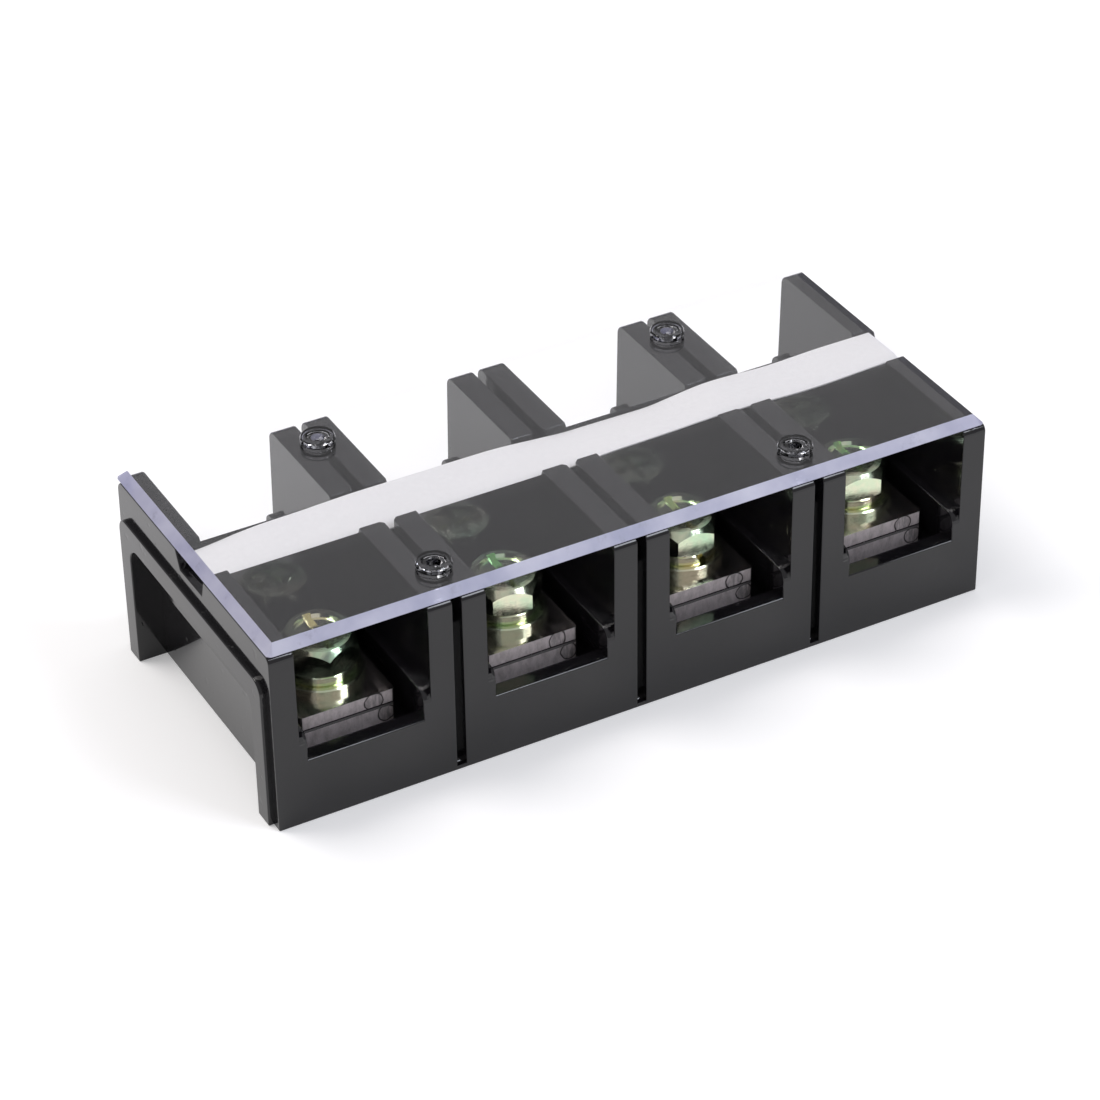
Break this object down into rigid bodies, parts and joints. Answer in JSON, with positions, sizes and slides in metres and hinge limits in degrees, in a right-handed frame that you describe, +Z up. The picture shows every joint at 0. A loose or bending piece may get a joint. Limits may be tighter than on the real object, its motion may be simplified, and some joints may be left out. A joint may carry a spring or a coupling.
{
  "type": "barrier terminal strip",
  "caption": "Barrier terminal block with two rows of hexagon-head screw terminals in a black moulding, under a clear cover held by push pins.",
  "frame": {"origin": "under the middle of the whole part, on the mounting face", "axes": "+X along the row of poles, +Y from the front row to the rear row, +Z up"},
  "size_m": [0.151, 0.0664, 0.0412],
  "materials": {
    "black_moulding": "semi-gloss black moulded plastic",
    "bar_steel": "sheared, zinc plated",
    "plate_steel": "bright, plated",
    "zinc_washer": "yellow-green passivated zinc",
    "zinc_screw": "yellow-green passivated zinc",
    "paper": "white card strip",
    "clear_sheet": "clear polished sheet",
    "clear_pin": "clear moulded plastic"
  },
  "bodies": {
    "base": {"housing": "black_moulding", "lower_bar_1": "bar_steel", "lower_bar_2": "bar_steel", "lower_bar_3": "bar_steel", "lower_bar_4": "bar_steel", "upper_plate_1": "plate_steel", "upper_plate_2": "plate_steel", "upper_plate_3": "plate_steel", "upper_plate_4": "plate_steel", "marking_strip": "paper"},
    "front_washers_1": {"front_flat_washer_1": "zinc_washer", "front_spring_washer_1": "zinc_washer"},
    "front_bolt_1": {"front_bolt_1": "zinc_screw"},
    "front_washers_2": {"front_flat_washer_2": "zinc_washer", "front_spring_washer_2": "zinc_washer"},
    "front_bolt_2": {"front_bolt_2": "zinc_screw"},
    "front_washers_3": {"front_flat_washer_3": "zinc_washer", "front_spring_washer_3": "zinc_washer"},
    "front_bolt_3": {"front_bolt_3": "zinc_screw"},
    "front_washers_4": {"front_flat_washer_4": "zinc_washer", "front_spring_washer_4": "zinc_washer"},
    "front_bolt_4": {"front_bolt_4": "zinc_screw"},
    "rear_washers_1": {"rear_flat_washer_1": "zinc_washer", "rear_spring_washer_1": "zinc_washer"},
    "rear_bolt_1": {"rear_bolt_1": "zinc_screw"},
    "rear_washers_2": {"rear_flat_washer_2": "zinc_washer", "rear_spring_washer_2": "zinc_washer"},
    "rear_bolt_2": {"rear_bolt_2": "zinc_screw"},
    "rear_washers_3": {"rear_flat_washer_3": "zinc_washer", "rear_spring_washer_3": "zinc_washer"},
    "rear_bolt_3": {"rear_bolt_3": "zinc_screw"},
    "rear_washers_4": {"rear_flat_washer_4": "zinc_washer", "rear_spring_washer_4": "zinc_washer"},
    "rear_bolt_4": {"rear_bolt_4": "zinc_screw"},
    "cover": {"cover": "clear_sheet"},
    "front_left_pin": {"front_left_pin": "clear_pin"},
    "front_right_pin": {"front_right_pin": "clear_pin"},
    "rear_left_pin": {"rear_left_pin": "clear_pin"},
    "rear_right_pin": {"rear_right_pin": "clear_pin"}
  },
  "joints": [
    {"name": "front_screw_1_lift", "type": "slide", "parent": "base", "child": "front_washers_1", "axis": [0, 0, 1], "range_m": [0, 0.0069]},
    {"name": "front_screw_1_turn", "type": "hinge", "parent": "front_washers_1", "child": "front_bolt_1", "pos_m": [-0.05643, -0.0147, 0], "axis": [0, 0, 1], "range_deg": [0, 1980]},
    {"name": "front_screw_2_lift", "type": "slide", "parent": "base", "child": "front_washers_2", "axis": [0, 0, 1], "range_m": [0, 0.0069]},
    {"name": "front_screw_2_turn", "type": "hinge", "parent": "front_washers_2", "child": "front_bolt_2", "pos_m": [-0.01847, -0.0147, 0], "axis": [0, 0, 1], "range_deg": [0, 1980]},
    {"name": "front_screw_3_lift", "type": "slide", "parent": "base", "child": "front_washers_3", "axis": [0, 0, 1], "range_m": [0, 0.0069]},
    {"name": "front_screw_3_turn", "type": "hinge", "parent": "front_washers_3", "child": "front_bolt_3", "pos_m": [0.01947, -0.0147, 0], "axis": [0, 0, 1], "range_deg": [0, 1980]},
    {"name": "front_screw_4_lift", "type": "slide", "parent": "base", "child": "front_washers_4", "axis": [0, 0, 1], "range_m": [0, 0.0069]},
    {"name": "front_screw_4_turn", "type": "hinge", "parent": "front_washers_4", "child": "front_bolt_4", "pos_m": [0.05742, -0.0147, 0], "axis": [0, 0, 1], "range_deg": [0, 1980]},
    {"name": "rear_screw_1_lift", "type": "slide", "parent": "base", "child": "rear_washers_1", "axis": [0, 0, 1], "range_m": [0, 0.0069]},
    {"name": "rear_screw_1_turn", "type": "hinge", "parent": "rear_washers_1", "child": "rear_bolt_1", "pos_m": [-0.05643, 0.0147, 0], "axis": [0, 0, 1], "range_deg": [0, 1980]},
    {"name": "rear_screw_2_lift", "type": "slide", "parent": "base", "child": "rear_washers_2", "axis": [0, 0, 1], "range_m": [0, 0.0069]},
    {"name": "rear_screw_2_turn", "type": "hinge", "parent": "rear_washers_2", "child": "rear_bolt_2", "pos_m": [-0.01847, 0.0147, 0], "axis": [0, 0, 1], "range_deg": [0, 1980]},
    {"name": "rear_screw_3_lift", "type": "slide", "parent": "base", "child": "rear_washers_3", "axis": [0, 0, 1], "range_m": [0, 0.0069]},
    {"name": "rear_screw_3_turn", "type": "hinge", "parent": "rear_washers_3", "child": "rear_bolt_3", "pos_m": [0.01947, 0.0147, 0], "axis": [0, 0, 1], "range_deg": [0, 1980]},
    {"name": "rear_screw_4_lift", "type": "slide", "parent": "base", "child": "rear_washers_4", "axis": [0, 0, 1], "range_m": [0, 0.0069]},
    {"name": "rear_screw_4_turn", "type": "hinge", "parent": "rear_washers_4", "child": "rear_bolt_4", "pos_m": [0.05742, 0.0147, 0], "axis": [0, 0, 1], "range_deg": [0, 1980]},
    {"name": "cover_lift", "type": "slide", "parent": "base", "child": "cover", "axis": [0, 0, 1], "range_m": [0, 0.03]},
    {"name": "front_left_pin_pull", "type": "slide", "parent": "cover", "child": "front_left_pin", "axis": [0, 0, 1], "range_m": [0, 0.012]},
    {"name": "front_right_pin_pull", "type": "slide", "parent": "cover", "child": "front_right_pin", "axis": [0, 0, 1], "range_m": [0, 0.012]},
    {"name": "rear_left_pin_pull", "type": "slide", "parent": "cover", "child": "rear_left_pin", "axis": [0, 0, 1], "range_m": [0, 0.012]},
    {"name": "rear_right_pin_pull", "type": "slide", "parent": "cover", "child": "rear_right_pin", "axis": [0, 0, 1], "range_m": [0, 0.012]}
  ],
  "couplings": [
    {"joint": "front_screw_1_lift", "follows": "front_screw_1_turn", "m_per_rad": 0.00019894},
    {"joint": "front_screw_2_lift", "follows": "front_screw_2_turn", "m_per_rad": 0.00019894},
    {"joint": "front_screw_3_lift", "follows": "front_screw_3_turn", "m_per_rad": 0.00019894},
    {"joint": "front_screw_4_lift", "follows": "front_screw_4_turn", "m_per_rad": 0.00019894},
    {"joint": "rear_screw_1_lift", "follows": "rear_screw_1_turn", "m_per_rad": 0.00019894},
    {"joint": "rear_screw_2_lift", "follows": "rear_screw_2_turn", "m_per_rad": 0.00019894},
    {"joint": "rear_screw_3_lift", "follows": "rear_screw_3_turn", "m_per_rad": 0.00019894},
    {"joint": "rear_screw_4_lift", "follows": "rear_screw_4_turn", "m_per_rad": 0.00019894}
  ]
}
